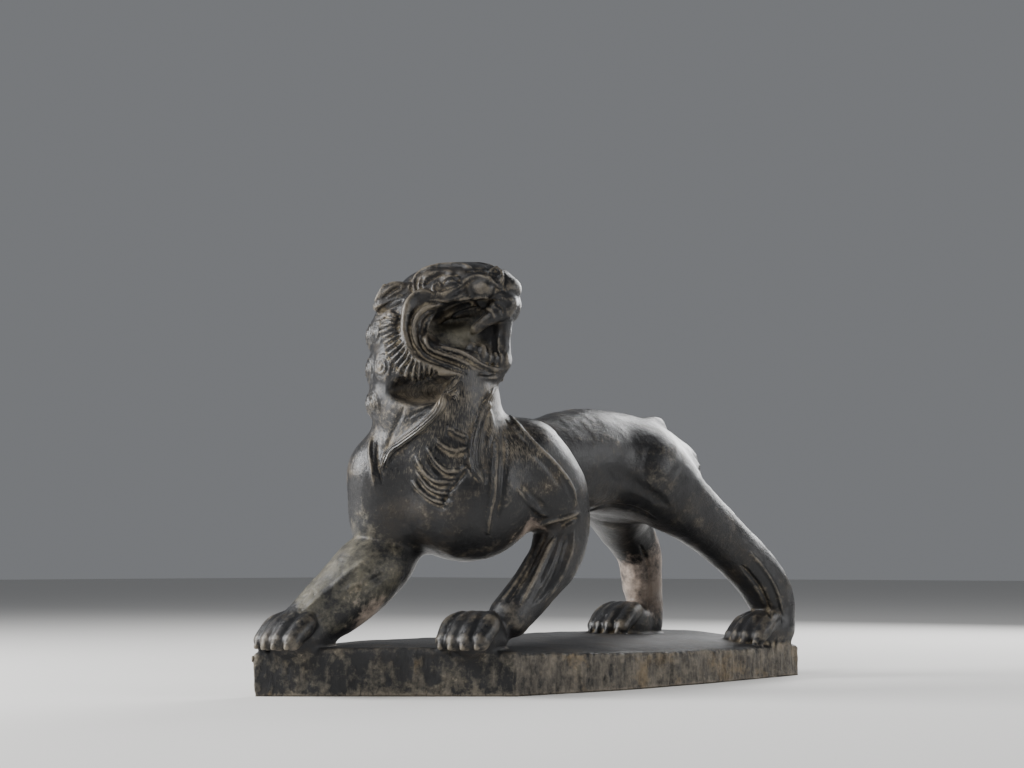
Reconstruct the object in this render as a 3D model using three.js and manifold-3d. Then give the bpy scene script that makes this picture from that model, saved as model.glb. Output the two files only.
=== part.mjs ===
// A striding stone lion with its head turned over its left shoulder,
// carved in one block with the irregular plinth that it stands on.
// Frame: +X towards the lion's rear, +Y to its right, +Z up, origin under the middle of the block.
import * as THREE from 'three';
import { SimplifyModifier } from 'three/addons/modifiers/SimplifyModifier.js';
import { mergeVertices } from 'three/addons/utils/BufferGeometryUtils.js';
import Module from 'manifold-3d';

// Driving sizes of the block, in millimetres
const plinthLength = 366;
const plinthWidth = 132;
const plinthHeight = 28.5;
const plinthFrontSkew = 92;
const plinthFrontNotch = 20;
const plinthToe = 4;
const plinthRearSkew = 10;
const plinthEdgeWear = 3;
const frontLean = 0.6;
const hewnDepth = 0.8;
const hewnPitch = 17;
const figureHeight = 226;

// How far the plinth's top falls from its full height at its corners, in millimetres
const topFall = { frontRight: 3.5, frontLeft: 5, rearLeft: 9 };

// Where each paw stands, from its corner of the plinth, in millimetres,
// and the heading of its toes in degrees from -X towards -Y
const paws = {
  foreLeft: { corner: 'frontLeft', inset: [-4, 24], heading: 14 },
  foreRight: { corner: 'frontRight', inset: [28, -14.4], heading: 4 },
  hindLeft: { corner: 'rearLeft', inset: [-23, 13], heading: -6 },
  hindRight: { corner: 'rearRight', inset: [-61, -38], heading: -2 },
};

// How finely the block is worked, in millimetres, and its count of facets
const workingCell = 1.5;
const facets = 9700;
const foldGap = 0.08;

// The figure's pose and proportions are shares of its height, laid out in 226 parts
const partsInHeight = 226;
const part = figureHeight / partsInHeight;
const axes = ['x', 'y', 'z'];
const { clamp, degToRad, lerp, radToDeg } = THREE.MathUtils;

// Plinth plan, from the front right corner round to the rear right one
const frontX = -plinthLength / 2;
const rearX = plinthLength / 2;
const leftY = -plinthWidth / 2;
const rightY = plinthWidth / 2;
const leftEdgeStart = frontX + plinthFrontSkew;
const plinthPlan = {
  frontRight: [frontX - plinthToe, rightY + plinthToe * 0.6],
  frontLeft: [leftEdgeStart, leftY + plinthFrontNotch],
  leftFore: [lerp(leftEdgeStart, rearX, 0.29), leftY + plinthFrontNotch / 5],
  leftHind: [lerp(leftEdgeStart, rearX, 0.6), leftY],
  rearLeft: [rearX, leftY + plinthFrontNotch / 7],
  rearRight: [rearX - plinthRearSkew, rightY - plinthFrontNotch / 20],
};

function plinthTop(x, y) {
  const across = clamp((rightY - y) / plinthWidth, 0, 1);
  const along = clamp((x - frontX) / plinthLength, 0, 1);
  const leftFall = lerp(topFall.frontLeft, topFall.rearLeft, along) * across ** 2.5;
  const frontFall = topFall.frontRight * Math.max(0, 1 - along * 5) * (1 - across);
  return plinthHeight - leftFall - frontFall;
}

// A place on the figure: parts from the plinth's middle, and parts above its full height
function place([x, y, z]) {
  return new THREE.Vector3(x * part, y * part, plinthHeight + z * part);
}

// A box of samples that holds, at each one, the distance to the stone's skin
class Block {
  constructor(low, high, cell) {
    this.low = low;
    this.cell = cell;
    this.count = axes.map((axis) => Math.ceil((high[axis] - low[axis]) / cell) + 1);
    this.strideY = this.count[0];
    this.strideZ = this.count[0] * this.count[1];
    this.value = new Float32Array(this.strideZ * this.count[2]).fill(100);
  }

  // Calls work(index, x, y, z) for each sample in a box
  within(low, high, work) {
    const first = axes.map((axis) => {
      return Math.max(0, Math.ceil((low[axis] - this.low[axis]) / this.cell));
    });
    const last = axes.map((axis, i) => {
      return Math.min(this.count[i] - 1, Math.floor((high[axis] - this.low[axis]) / this.cell));
    });
    for (let k = first[2]; k <= last[2]; k += 1) {
      const z = this.low.z + k * this.cell;
      for (let j = first[1]; j <= last[1]; j += 1) {
        const y = this.low.y + j * this.cell;
        let index = k * this.strideZ + j * this.strideY + first[0];
        for (let i = first[0]; i <= last[0]; i += 1) {
          work(index, this.low.x + i * this.cell, y, z);
          index += 1;
        }
      }
    }
  }

  // Joins a shape to the stone, with a soft valley of the given width between them
  add(shape, blend) {
    this.combine(shape, blend, 1);
  }

  // Takes a shape out of the stone, with a softened rim
  cut(shape, blend) {
    this.combine(shape, blend, -1);
  }

  combine(shape, blend, sign) {
    const soft = Math.max(blend * part, this.cell / 100);
    const margin = soft + 3 * this.cell;
    const low = shape.low.clone().subScalar(margin);
    const high = shape.high.clone().addScalar(margin);
    this.within(low, high, (index, x, y, z) => {
      const there = sign * this.value[index];
      const distance = shape.distance(x, y, z);
      const overlap = Math.max(soft - Math.abs(there - distance), 0) / soft;
      this.value[index] = sign * (Math.min(there, distance) - overlap * overlap * soft / 4);
    });
  }

  // The distance at any point, read between the samples
  at(point) {
    const across = axes.map((axis) => (point[axis] - this.low[axis]) / this.cell);
    const whole = across.map((value, i) => clamp(Math.floor(value), 0, this.count[i] - 2));
    const share = across.map((value, i) => value - whole[i]);
    const start = whole[0] + whole[1] * this.strideY + whole[2] * this.strideZ;
    let sum = 0;
    for (let corner = 0; corner < 8; corner += 1) {
      const a = corner & 1;
      const b = (corner >> 1) & 1;
      const c = corner >> 2;
      const weight = (a ? share[0] : 1 - share[0])
        * (b ? share[1] : 1 - share[1])
        * (c ? share[2] : 1 - share[2]);
      sum += weight * this.value[start + a + b * this.strideY + c * this.strideZ];
    }
    return sum;
  }

  // The way out of the stone at a point
  slope(point) {
    const way = new THREE.Vector3();
    for (const axis of axes) {
      const ahead = point.clone();
      const behind = point.clone();
      ahead[axis] += this.cell;
      behind[axis] -= this.cell;
      way[axis] = (this.at(ahead) - this.at(behind)) / (2 * this.cell);
    }
    return way;
  }

  // The point of the skin nearest to a point
  settle(point) {
    const found = point.clone();
    for (let turn = 0; turn < 6; turn += 1) {
      const way = this.slope(found);
      const steep = Math.max(way.lengthSq(), 0.25);
      found.addScaledVector(way, -this.at(found) / steep);
    }
    return found;
  }

  holds(point) {
    return axes.every((axis, i) => {
      const gone = point[axis] - this.low[axis];
      return gone > 0 && gone < this.cell * (this.count[i] - 1);
    });
  }

  // The first point of the skin on a straight line, or the nearest one to it
  meet(start, way, reach) {
    const probe = start.clone();
    let nearest = start.clone();
    let least = Infinity;
    for (let gone = 0; gone < reach && least > 0; gone += this.cell * 0.75) {
      probe.copy(start).addScaledVector(way, gone);
      const distance = this.holds(probe) ? this.at(probe) : 100;
      if (distance < least) {
        least = distance;
        nearest = probe.clone();
      }
    }
    return this.settle(nearest);
  }

  // Works a groove (depth above nought) or a ridge (below nought) along a line on the skin
  work({ line, halfWidth, depth, square = 2 }) {
    const wide = halfWidth * part;
    const worked = new Map();
    for (let i = 0; i + 1 < line.length; i += 1) {
      const start = line[i];
      const run = new THREE.Vector3().subVectors(line[i + 1], start);
      const runSq = Math.max(run.lengthSq(), 1e-6);
      const low = start.clone().min(line[i + 1]).subScalar(wide);
      const high = start.clone().max(line[i + 1]).addScalar(wide);
      this.within(low, high, (index, x, y, z) => {
        const dx = x - start.x;
        const dy = y - start.y;
        const dz = z - start.z;
        const share = clamp((dx * run.x + dy * run.y + dz * run.z) / runSq, 0, 1);
        const away = Math.hypot(dx - run.x * share, dy - run.y * share, dz - run.z * share);
        const gone = (i + share) / (line.length - 1);
        const taper = Math.min(1, 0.35 + 5 * Math.min(gone, 1 - gone));
        const near = away / (wide * taper);
        const known = worked.get(index);
        if (near < 1 && (!known || near < known.near)) worked.set(index, { near, taper });
      });
    }
    for (const [index, { near, taper }] of worked) {
      this.value[index] += depth * part * taper * (1 - near ** square) ** 2;
    }
  }
}

// A rounded limb through stations of [x, y, z, radius], widened across one way
function limb(stations, { across = [0, 0, 1], stretch = 1, steps = 6 } = {}) {
  const curve = new THREE.CatmullRomCurve3(stations.map(place), false, 'centripetal');
  const girths = stations.map(([, , , radius]) => new THREE.Vector3(radius * part, 0, 0));
  const girth = new THREE.CatmullRomCurve3(girths);
  const last = (stations.length - 1) * steps;
  const centres = [];
  const radii = [];
  for (let i = 0; i <= last; i += 1) {
    centres.push(curve.getPoint(i / last));
    radii.push(girth.getPoint(i / last).x);
  }
  const way = new THREE.Vector3(...across).normalize();
  const shrink = 1 / stretch - 1;
  const spans = centres.slice(1).map((end, i) => {
    const run = new THREE.Vector3().subVectors(end, centres[i]);
    const swell = radii[i + 1] - radii[i];
    return { start: centres[i], run, runSq: run.lengthSq(), radius: radii[i], swell };
  });
  function distance(x, y, z) {
    let least = Infinity;
    for (const { start, run, runSq, radius, swell } of spans) {
      const dx = x - start.x;
      const dy = y - start.y;
      const dz = z - start.z;
      const share = Math.min(Math.max((dx * run.x + dy * run.y + dz * run.z) / runSq, 0), 1);
      const ox = dx - run.x * share;
      const oy = dy - run.y * share;
      const oz = dz - run.z * share;
      const pull = (ox * way.x + oy * way.y + oz * way.z) * shrink;
      const px = ox + way.x * pull;
      const py = oy + way.y * pull;
      const pz = oz + way.z * pull;
      least = Math.min(least, Math.sqrt(px * px + py * py + pz * pz) - radius - swell * share);
    }
    return least;
  }
  const box = new THREE.Box3().setFromPoints(centres);
  box.expandByScalar(Math.max(...radii) * stretch);
  return { low: box.min, high: box.max, distance };
}

// A rounded mass with three half sizes, turned about Z
function mass(centre, halfSizes, turn = 0) {
  const middle = place(centre);
  const [hx, hy, hz] = halfSizes.map((half) => half * part);
  const cos = Math.cos(degToRad(turn));
  const sin = Math.sin(degToRad(turn));
  const widest = Math.max(hx, hy, hz);
  function distance(x, y, z) {
    const dx = x - middle.x;
    const dy = y - middle.y;
    const px = (cos * dx + sin * dy) / hx;
    const py = (cos * dy - sin * dx) / hy;
    const pz = (z - middle.z) / hz;
    const far = Math.sqrt(px * px + py * py + pz * pz);
    const lean = Math.sqrt((px / hx) ** 2 + (py / hy) ** 2 + (pz / hz) ** 2);
    return lean > 1e-9 ? far * (far - 1) / lean : -Math.min(hx, hy, hz);
  }
  return {
    low: middle.clone().subScalar(widest),
    high: middle.clone().addScalar(widest),
    distance,
  };
}

// The block, with room round the figure
const room = 12;
const block = new Block(
  new THREE.Vector3(frontX - room, leftY - room, -3.5 * workingCell),
  new THREE.Vector3(rearX + room, rightY + room, plinthHeight + figureHeight + room),
  workingCell,
);

// Trunk, chest and neck
const trunk = [[-72, 8, 95, 36], [-25, 6, 100, 30], [33, 1, 109, 33], [75, -4, 107, 32], [104, -7, 102, 27]];
const chest = { middle: [-80, 3, 87], half: [39, 45, 41], turn: 40 };
const neck = [[-88, 11, 114, 37], [-93, 14, 138, 38], [-97, 14, 160, 35], [-102, 14, 178, 28]];
const tailStub = [[84, -4, 131, 8], [95, -5.5, 134, 6.5], [106, -6, 134.5, 6]];
const tailBreak = { middle: [109, -6, 136], size: 16, lean: 12 };
block.add(limb(trunk), 0);
block.add(mass(chest.middle, chest.half, chest.turn), 10);
block.add(limb(neck), 9);
block.add(limb(tailStub), 5);

// Each leg comes down from the body, and its lower stations go with its paw
const legs = {
  foreLeft: {
    fromBody: [[-56, -22, 104, 26], [-44, -31, 88, 22], [-35, -34, 68, 16.5], [-39, -33, 50, 15.5]],
    fromPaw: [[41, -8, 33, 13.5], [21, -5, 15, 12]],
  },
  foreRight: {
    fromBody: [[-108, 33, 96, 27], [-107, 37, 72, 23], [-105, 38, 56, 19], [-123, 42.5, 37, 20.5]],
    fromPaw: [[18, -5, 21, 18], [3, 0, 11, 14]],
  },
  hindLeft: {
    fromBody: [[66, -20, 103, 29], [102, -32, 78, 20], [134, -40.5, 56, 16.5]],
    fromPaw: [[0, 2.5, 34, 16.5], [11, 1, 18, 15], [10, 0, 5, 14]],
  },
  hindRight: {
    fromBody: [[82, 14, 94, 27], [104, 25, 74, 19]],
    fromPaw: [[12, -1, 52, 14.5], [15.5, -1, 33, 13.5], [20, -0.5, 17, 12], [18, -1, 5, 12]],
  },
};

// Paw: a rounded block with four toes, each bent at its knuckle and ending in a claw
const paw = { half: [23, 14.5, 14], middleUp: 6, blend: 4 };
const toes = {
  count: 4,
  spread: 7.2,
  root: 4,
  rootUp: 14.5,
  bend: 13.5,
  tip: 23,
  knuckleUp: 12,
  tipUp: 4.5,
  radius: 6,
  setBack: 1.2,
  claw: 2.2,
};

for (const [name, { fromBody, fromPaw }] of Object.entries(legs)) {
  const { corner, inset, heading } = paws[name];
  const standing = plinthPlan[corner].map((value, i) => value + inset[i]);
  const [x, y] = standing.map((value) => value / part);
  const ground = (plinthTop(...standing) - plinthHeight) / part;
  const lower = fromPaw.map(([dx, dy, up, radius]) => [x + dx, y + dy, up, radius]);
  block.add(limb([...fromBody, ...lower]), 9);
  block.add(mass([x, y, ground + paw.middleUp], paw.half, heading), paw.blend);
  const turn = degToRad(heading);
  const onPaw = ([ahead, aside, up, radius]) => [
    x - ahead * Math.cos(turn) - aside * Math.sin(turn),
    y - ahead * Math.sin(turn) + aside * Math.cos(turn),
    ground + up,
    radius,
  ];
  for (let toe = 0; toe < toes.count; toe += 1) {
    const fromMiddle = toe - (toes.count - 1) / 2;
    const aside = fromMiddle * toes.spread;
    const tip = toes.tip - toes.setBack * fromMiddle ** 2;
    const finger = [
      [toes.root, aside * 0.8, toes.rootUp, toes.radius],
      [tip - toes.tip + toes.bend, aside, toes.knuckleUp, toes.radius],
      [tip, aside * 1.05, toes.tipUp, toes.radius * 0.85],
    ];
    const claw = [
      [tip + toes.claw, aside * 1.05, toes.tipUp, toes.claw],
      [tip + 2 * toes.claw, aside * 1.05, toes.tipUp / 4, toes.claw * 0.6],
    ];
    block.add(limb(finger.map(onPaw)), 1.2);
    block.add(limb(claw.map(onPaw)), 0.8);
  }
}

// Head, laid out forward, to its right side and up from the middle of the skull
const headMiddle = [-91, 13, 188];
const headForward = new THREE.Vector3(0.38, -0.925, 0);
const headSide = new THREE.Vector3(-0.925, -0.38, 0);
const headTurn = radToDeg(Math.atan2(headForward.y, headForward.x));
const headReach = 62;
function onHead([forward, side, up, ...radius]) {
  return [
    headMiddle[0] + forward * headForward.x + side * headSide.x,
    headMiddle[1] + forward * headForward.y + side * headSide.y,
    headMiddle[2] + up,
    ...radius,
  ];
}
const headMass = (centre, half) => mass(onHead(centre), half, headTurn);
const headLimb = (stations, stretch = 1) => {
  return limb(stations.map(onHead), { across: headSide.toArray(), stretch });
};

// A hollow cut in from both sides of the head, up to a wall along its middle
function sideHollow(stations, wall) {
  const profile = headLimb(stations, headReach);
  const middle = place(headMiddle);
  return {
    low: middle.clone().subScalar(headReach * part),
    high: middle.clone().addScalar(headReach * part),
    distance(x, y, z) {
      const aside = (x - middle.x) * headSide.x + (y - middle.y) * headSide.y;
      return Math.max(profile.distance(x, y, z), wall * part - Math.abs(aside));
    },
  };
}

// Skull, cheeks, muzzle, jaw, nose and upper lip
block.add(headMass([2, 0, 6], [30, 28, 24.5]), 6);
block.add(headMass([-12, 0, -8], [27, 31, 24]), 8);
block.add(headLimb([[4, 0, 17, 14], [22, 0, 20.5, 11], [37, 0, 18.5, 8.5]], 1.7), 4);
block.add(headLimb([[-12, 0, -22, 14], [10, 0, -29, 9.5], [34, 0, -33, 6]], 1.9), 4);
block.add(headMass([43, 0, 15.5], [6.5, 9, 7]), 2);
block.add(headLimb([[24, 0, 10, 5], [41, 0, 8, 5.5]], 2.4), 3);

// The open mouth, with a wall left along its middle, a bar of stone in front and the tongue,
// and the recesses under the jaw
block.cut(sideHollow([[10, 0, -8.5, 9.5], [18, 0, -7.5, 13.5], [32, 0, -7, 16], [52, 0, -9, 17]], 6), 3);
block.cut(sideHollow([[18, 0, -5, 8], [27, 0, -7, 11]], 2.5), 2);
for (const side of [1, -1]) block.cut(headMass([4, 36 * side, -45], [20, 12, 8.5]), 5);
block.add(headMass([18, 0, -6], [25, 4, 24]), 2);
block.add(headLimb([[41, 0, 6, 5.5], [39.5, 0, -10, 4.5], [38, 0, -28, 6]]), 3);
block.add(headLimb([[-6, 0, -12, 9], [8, 0, -13, 8], [20, 0, -12, 5]], 2.1), 6);
block.add(headLimb([[-6, 0, -21, 9], [10, 0, -22, 7], [22, 0, -24, 5]], 2), 6);

// What is alike on both sides: eye, swelling above the lip, ear, curled tusk and lower teeth
const frontTeeth = 4;
for (const side of [1, -1]) {
  block.add(headMass([14, 21 * side, 18], [5.5, 4.5, 5]), 1.5);
  block.add(headMass([31, 14.5 * side, 14], [7.5, 5, 6]), 2);
  const ear = [[-10, 21 * side, 13, 5.5], [-20, 25 * side, 12.5, 6], [-27.5, 26.5 * side, 4.5, 3.2]];
  block.add(headLimb(ear), 2);
  block.add(headLimb([[43, 5 * side, 1, 4], [34, 9 * side, -3, 3.8], [26, 10 * side, -8.5, 3.4]]), 2);
  block.add(headLimb([[44, 4 * side, 6, 5], [37, 7 * side, 3, 4.5]]), 3);
  block.add(headMass([25, 15 * side, -21], [4, 3, 4.5]), 1.5);
  block.add(headMass([31, 13 * side, -24], [3.4, 3, 6]), 1.5);
  for (let tooth = 0; tooth < frontTeeth; tooth += 1) {
    block.add(headMass([35 + tooth * 2.4, (11 - tooth * 2.6) * side, -26], [1.8, 2, 4]), 0.8);
  }
}

// Lines of sight: what is carved into the skin is laid out on a picture of the front left side,
// 1024 wide and 768 high, and found from the viewer's eye through its places in that picture
const viewer = {
  eye: [-864.9, -692.2, 44.1],
  turn: degToRad(40),
  rise: degToRad(5.74),
  pictureMiddle: [512, 384],
  pictureDistance: 1800,
  nearest: 700,
  farthest: 1400,
};
const sightForward = new THREE.Vector3(
  Math.cos(viewer.turn) * Math.cos(viewer.rise),
  Math.sin(viewer.turn) * Math.cos(viewer.rise),
  Math.sin(viewer.rise),
);
const sightRight = new THREE.Vector3(Math.sin(viewer.turn), -Math.cos(viewer.turn), 0);
const sightUp = new THREE.Vector3().crossVectors(sightRight, sightForward);

function seen({ x, y }) {
  const way = sightForward.clone()
    .addScaledVector(sightRight, (x - viewer.pictureMiddle[0]) / viewer.pictureDistance)
    .addScaledVector(sightUp, (viewer.pictureMiddle[1] - y) / viewer.pictureDistance)
    .normalize();
  const start = place(viewer.eye).addScaledVector(way, viewer.nearest * part);
  return block.meet(start, way, (viewer.farthest - viewer.nearest) * part);
}

const pictureCurve = (places) => new THREE.SplineCurve(places.map((pair) => new THREE.Vector2(...pair)));
const lineSeen = (places) => pictureCurve(places).getPoints((places.length - 1) * 3).map(seen);

// The same line on the other side of the head
function acrossTheHead(line) {
  const middle = place(headMiddle);
  return line.map((point) => {
    const aside = new THREE.Vector3().subVectors(point, middle).dot(headSide);
    return block.settle(point.clone().addScaledVector(headSide, -2 * aside));
  });
}

// Face: folds of the lips, the brow and the rim of the ear.
// A line has its places in the picture, half its width and its depth in parts
const faceLines = {
  lipFold: {
    places: [
      [434, 295], [426, 294], [416, 297], [409, 305], [406, 317],
      [406, 332], [410, 347], [419, 359], [431, 366], [446, 371], [462, 375],
    ],
    halfWidth: 4.6,
    depth: -4.6,
  },
  upperLip: {
    places: [[500, 288], [490, 281], [480, 277], [470, 278], [462, 283], [454, 289], [445, 294], [434, 295]],
    halfWidth: 3,
    depth: -2.6,
  },
  foldGroove: {
    places: [
      [447, 304], [437, 304], [427, 304], [419, 309], [415, 319], [414, 331],
      [417, 343], [424, 353], [436, 360], [450, 365], [466, 372], [480, 377],
    ],
    halfWidth: 3,
    depth: 3,
  },
  lowerLip: {
    places: [
      [434, 313], [428, 319], [425, 329], [426, 341], [432, 349], [443, 353],
      [456, 356], [468, 362], [482, 368], [501, 371],
    ],
    halfWidth: 2.8,
    depth: -2.8,
  },
  brow: { places: [[420, 277], [432, 270], [450, 266], [464, 266], [474, 270]], halfWidth: 3, depth: -3 },
  browHollow: { places: [[424, 282], [434, 277], [447, 275], [457, 276]], halfWidth: 2.4, depth: 2.4 },
  earRim: { places: [[375, 309], [384, 303], [394, 299], [402, 295]], halfWidth: 2.4, depth: -2.4 },
  earGap: { places: [[378, 316], [386, 310], [396, 305], [404, 300]], halfWidth: 2.6, depth: 3 },
};
const carving = [];
for (const { places, ...tool } of Object.values(faceLines)) {
  const near = lineSeen(places);
  carving.push({ line: near, ...tool }, { line: acrossTheHead(near), ...tool });
}

// Ruff behind the jaw: a raised crescent band with a flat face
const ruff = {
  places: [[391, 314], [391, 328], [394, 342], [399, 354], [407, 364], [418, 371], [430, 373]],
  halfWidth: 7.5,
  depth: -4.5,
  square: 4,
};
const ruffLine = lineSeen(ruff.places);
carving.push({ line: ruffLine, ...ruff }, { line: acrossTheHead(ruffLine), ...ruff });

// Breast, shoulders and legs: strands of the mane, ribs of the throat, ridges and sinews
const bodyLines = {
  strandRight: {
    places: [[457, 379], [448, 393], [437, 411], [420, 428], [403, 441], [390, 452], [382, 466]],
    halfWidth: 3.6,
    depth: -3,
    square: 4,
  },
  strandLeft: {
    places: [[494, 389], [486, 403], [479, 425], [475, 448], [476, 466], [483, 482]],
    halfWidth: 3.8,
    depth: -3,
    square: 4,
  },
  shoulderRidge: {
    places: [[494, 432], [496, 452], [495, 475], [494, 498], [490, 514], [488, 533]],
    halfWidth: 2.8,
    depth: -2.4,
  },
  shoulderRim: {
    places: [[510, 416], [524, 433], [541, 450], [556, 466], [568, 484], [574, 504]],
    halfWidth: 2.8,
    depth: -1.8,
  },
  shoulderGroove: {
    places: [[504, 424], [518, 440], [535, 457], [550, 474], [560, 490]],
    halfWidth: 3,
    depth: 1.4,
  },
  lockEdge: { places: [[372, 437], [371, 452], [372, 468], [375, 487]], halfWidth: 2.6, depth: -2 },
  elbowBand: { places: [[535, 525], [550, 521], [566, 517], [579, 513]], halfWidth: 2.8, depth: -2 },
  elbowFold: { places: [[517, 489], [529, 502], [545, 515]], halfWidth: 2.6, depth: 2 },
  forearmFront: { places: [[552, 536], [540, 560], [526, 586], [512, 611]], halfWidth: 2.8, depth: -2 },
  forearmGroove: { places: [[562, 534], [553, 560], [538, 588], [522, 610]], halfWidth: 2.8, depth: 2 },
  rightForearm: { places: [[392, 566], [366, 582], [338, 602], [314, 620]], halfWidth: 3, depth: 1.8 },
  hockGroove: { places: [[742, 566], [756, 582], [766, 600], [770, 618]], halfWidth: 2.8, depth: 1.8 },
};
const throatRibs = {
  places: [
    [[447, 426], [455, 432], [467, 437]],
    [[435, 438], [447, 448], [458, 450], [467, 447]],
    [[427, 446], [434, 460], [447, 471], [463, 470]],
    [[416, 457], [423, 471], [435, 481], [456, 481]],
    [[416, 470], [426, 485], [438, 492], [452, 494]],
    [[412, 481], [422, 492], [434, 500], [447, 503]],
  ],
  halfWidth: 2.2,
  depth: -2,
};
for (const { places, ...tool } of Object.values(bodyLines)) carving.push({ line: lineSeen(places), ...tool });
for (const places of throatRibs.places) {
  const { halfWidth, depth } = throatRibs;
  carving.push({ line: lineSeen(places), halfWidth, depth });
}
for (const stroke of carving) block.work(stroke);

// Mane: rows of round curls down the back of the neck, from the crown to the shoulders
const curls = {
  inRow: [4, 4, 5],
  nearTurn: 44,
  stepTurn: -32,
  top: 177,
  rowStep: 20,
  half: [11, 11, 11],
  sunk: 8.4,
};
const neckCurve = new THREE.CatmullRomCurve3(neck.map(place), false, 'centripetal').getPoints(40);
for (const [row, inRow] of curls.inRow.entries()) {
  const level = plinthHeight + (curls.top - row * curls.rowStep) * part;
  const core = neckCurve.reduce((best, point) => {
    return Math.abs(point.z - level) < Math.abs(best.z - level) ? point : best;
  });
  for (let i = 0; i < inRow; i += 1) {
    const turn = degToRad(curls.nearTurn + (i - (row % 2) / 2) * curls.stepTurn);
    const out = headForward.clone().negate().applyAxisAngle(new THREE.Vector3(0, 0, 1), turn);
    const start = new THREE.Vector3(core.x, core.y, level).addScaledVector(out, headReach * part * 1.5);
    const skin = block.meet(start, out.clone().negate(), headReach * part * 1.5);
    const seat = skin.addScaledVector(out, -curls.sunk * part);
    const centre = [seat.x / part, seat.y / part, (seat.z - plinthHeight) / part];
    block.add(mass(centre, curls.half), 1);
  }
}

// The plinth: an uneven slab with hewn sides that lean in at the front right foot
const planPoints = Object.values(plinthPlan);
function plinthSlab() {
  function planDistance(x, y) {
    let least = Infinity;
    let inside = false;
    for (let i = 0; i < planPoints.length; i += 1) {
      const [ax, ay] = planPoints[i];
      const [bx, by] = planPoints[(i + 1) % planPoints.length];
      const runX = bx - ax;
      const runY = by - ay;
      const share = clamp(((x - ax) * runX + (y - ay) * runY) / (runX ** 2 + runY ** 2), 0, 1);
      least = Math.min(least, Math.hypot(x - ax - runX * share, y - ay - runY * share));
      if ((ay > y) !== (by > y) && x < ax + runX * (y - ay) / runY) inside = !inside;
    }
    return inside ? -least : least;
  }
  return {
    low: new THREE.Vector3(frontX - plinthToe, leftY, 0),
    high: new THREE.Vector3(rearX, rightY + plinthToe, plinthHeight),
    distance(x, y, z) {
      const footward = clamp(1 - z / plinthHeight, 0, 1);
      const frontShare = clamp(-x / (plinthLength / 2), 0, 1) * clamp(y / (plinthWidth / 2), 0, 1);
      const hewn = hewnDepth * (Math.sin(x / hewnPitch) * Math.sin(y / hewnPitch + 1) - 1) / 2;
      const edge = planDistance(x, y) + frontLean * frontShare * footward - hewn;
      const top = z - plinthTop(x, y);
      const wear = Math.max(plinthEdgeWear - Math.abs(edge - top), 0) / plinthEdgeWear;
      return Math.max(Math.max(edge, top) + wear * wear * plinthEdgeWear / 4, -z);
    },
  };
}
const plinthFillet = 3;
block.add(plinthSlab(), plinthFillet);

// Turns the samples into a closed skin, by way of six tetrahedra in each cell
function skinOf(samples) {
  const { strideY, strideZ, value, cell, low } = samples;
  const [nx, ny, nz] = samples.count;
  const corners = [
    0, 1, 1 + strideY, strideY,
    strideZ, strideZ + 1, strideZ + 1 + strideY, strideZ + strideY,
  ];
  const tetrahedra = [[0, 5, 1, 6], [0, 1, 2, 6], [0, 2, 3, 6], [0, 3, 7, 6], [0, 7, 4, 6], [0, 4, 5, 6]];
  const positions = [];
  const faces = [];
  const crossings = new Map();
  const gridPlace = (index) => {
    return [index % strideY, Math.floor(index / strideY) % ny, Math.floor(index / strideZ)];
  };
  function crossing(stone, air) {
    const key = stone < air ? stone * value.length + air : air * value.length + stone;
    if (!crossings.has(key)) {
      const share = clamp(value[stone] / (value[stone] - value[air]), 0.02, 0.98);
      const from = gridPlace(stone);
      const to = gridPlace(air);
      crossings.set(key, positions.length / 3);
      for (let i = 0; i < 3; i += 1) {
        positions.push(low[axes[i]] + cell * lerp(from[i], to[i], share));
      }
    }
    return crossings.get(key);
  }
  function isEven(order, tetrahedron) {
    const ranks = order.map((corner) => tetrahedron.indexOf(corner));
    let swaps = 0;
    for (let i = 0; i < 4; i += 1) {
      for (let j = i + 1; j < 4; j += 1) swaps += ranks[i] > ranks[j] ? 1 : 0;
    }
    return swaps % 2 === 0;
  }
  function close(tetrahedron) {
    const stone = tetrahedron.filter((corner) => value[corner] < 0);
    const air = tetrahedron.filter((corner) => value[corner] >= 0);
    if (stone.length === 0 || air.length === 0) return;
    const ring = [];
    if (stone.length === 1) ring.push(...air.map((corner) => crossing(stone[0], corner)));
    if (stone.length === 3) ring.push(...stone.map((corner) => crossing(corner, air[0])));
    if (stone.length === 2) {
      ring.push(crossing(stone[0], air[0]), crossing(stone[0], air[1]));
      ring.push(crossing(stone[1], air[1]), crossing(stone[1], air[0]));
    }
    if (!isEven([...stone, ...air], tetrahedron)) ring.reverse();
    for (let i = 1; i + 1 < ring.length; i += 1) faces.push(ring[0], ring[i], ring[i + 1]);
  }
  for (let k = 0; k + 1 < nz; k += 1) {
    for (let j = 0; j + 1 < ny; j += 1) {
      for (let i = 0; i + 1 < nx; i += 1) {
        const start = i + j * strideY + k * strideZ;
        const inside = corners.filter((corner) => value[start + corner] < 0).length;
        if (inside === 0 || inside === corners.length) continue;
        for (const tetrahedron of tetrahedra) close(tetrahedron.map((corner) => start + corners[corner]));
      }
    }
  }
  const geometry = new THREE.BufferGeometry();
  geometry.setAttribute('position', new THREE.BufferAttribute(new Float32Array(positions), 3));
  geometry.setIndex(new THREE.BufferAttribute(new Uint32Array(faces), 1));
  return geometry;
}

const fineSkin = skinOf(block);
const surplus = fineSkin.getAttribute('position').count - facets / 2;
const skin = await new SimplifyModifier().modify(fineSkin, Math.max(0, surplus));

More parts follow.
